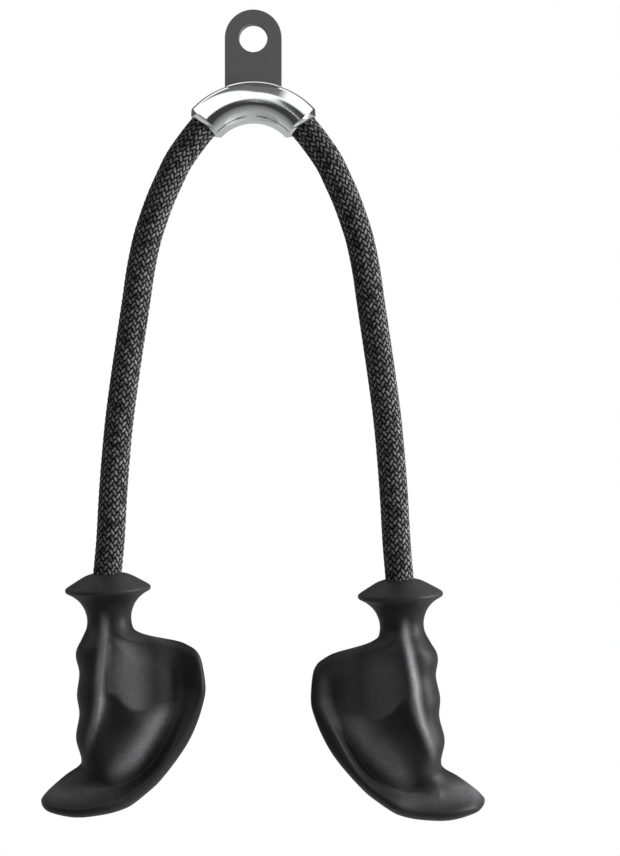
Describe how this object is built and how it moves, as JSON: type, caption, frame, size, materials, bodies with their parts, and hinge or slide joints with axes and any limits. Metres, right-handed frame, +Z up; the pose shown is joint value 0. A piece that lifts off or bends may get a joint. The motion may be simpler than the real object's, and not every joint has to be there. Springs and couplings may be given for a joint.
{
  "type": "triceps rope attachment",
  "caption": "Cable machine rope attachment: chromed saddle sleeve with an eye plate, a braided rope through it and moulded ergonomic grips that turn on the rope's ends.",
  "frame": {"origin": "the centre of the carabiner's eye in the hanger tab, from which the whole attachment hangs", "axes": "+Z up, +X to the right seen from the front, the front of the palm shelves faces -Y"},
  "size_m": [0.2588, 0.0528, 0.4693],
  "materials": {
    "plate_coat": "satin",
    "chrome": "polished",
    "braid": "braided",
    "grip_rubber": "matte",
    "core_nylon": "natural",
    "zinc_steel": "zinc plated",
    "plug_rubber": "matte"
  },
  "bodies": {
    "hanger": {"hanger_tab": "plate_coat", "saddle_sleeve": "chrome", "rope_in_sleeve": "braid"},
    "left_shoulder": {"rope_left_shoulder": "braid"},
    "left_leg": {"rope_left_leg": "braid"},
    "left_rope_end": {"rope_left_tail": "braid", "left_ferrule": "zinc_steel"},
    "left_handle": {"left_grip": "grip_rubber", "left_core_tube": "core_nylon", "left_washer": "zinc_steel", "left_plug": "plug_rubber"},
    "right_shoulder": {"rope_right_shoulder": "braid"},
    "right_leg": {"rope_right_leg": "braid"},
    "right_rope_end": {"rope_right_tail": "braid", "right_ferrule": "zinc_steel"},
    "right_handle": {"right_grip": "grip_rubber", "right_core_tube": "core_nylon", "right_washer": "zinc_steel", "right_plug": "plug_rubber"}
  },
  "joints": [
    {"name": "left_spread", "type": "hinge", "parent": "hanger", "child": "left_shoulder", "pos_m": [-0.02891, 0, -0.05099], "axis": [0, 1, 0], "range_deg": [-3.5, 60], "stiffness_Nm_per_rad": 0.33, "springref_deg": 19.11, "deforming": ["rope_left_shoulder"]},
    {"name": "left_swing", "type": "hinge", "parent": "left_shoulder", "child": "left_leg", "pos_m": [-0.07034, 0, -0.16678], "axis": [1, 0, 0], "range_deg": [-35, 35], "deforming": ["rope_left_shoulder", "rope_left_leg"]},
    {"name": "left_tilt", "type": "hinge", "parent": "left_leg", "child": "left_rope_end", "pos_m": [-0.08495, 0, -0.31101], "axis": [0, 1, 0], "range_deg": [-5, 25], "stiffness_Nm_per_rad": 0.6, "springref_deg": -1.9, "deforming": ["rope_left_leg"]},
    {"name": "left_turn", "type": "hinge", "parent": "left_rope_end", "child": "left_handle", "pos_m": [-0.0846, 0, -0.3197], "axis": [-0.0401, 0, 0.9992], "continuous": true},
    {"name": "right_spread", "type": "hinge", "parent": "hanger", "child": "right_shoulder", "pos_m": [0.02891, 0, -0.05099], "axis": [0, -1, 0], "range_deg": [-3.5, 60], "stiffness_Nm_per_rad": 0.33, "springref_deg": 21.8, "deforming": ["rope_right_shoulder"]},
    {"name": "right_swing", "type": "hinge", "parent": "right_shoulder", "child": "right_leg", "pos_m": [0.07034, 0, -0.16678], "axis": [1, 0, 0], "range_deg": [-35, 35], "deforming": ["rope_right_shoulder", "rope_right_leg"]},
    {"name": "right_tilt", "type": "hinge", "parent": "right_leg", "child": "right_rope_end", "pos_m": [0.08511, 0, -0.31451], "axis": [0, -1, 0], "range_deg": [-5, 25], "stiffness_Nm_per_rad": 0.6, "springref_deg": -0.47, "deforming": ["rope_right_leg"]},
    {"name": "right_turn", "type": "hinge", "parent": "right_rope_end", "child": "right_handle", "pos_m": [0.0855, 0, -0.3232], "axis": [-0.0454, 0, 0.999], "continuous": true}
  ]
}
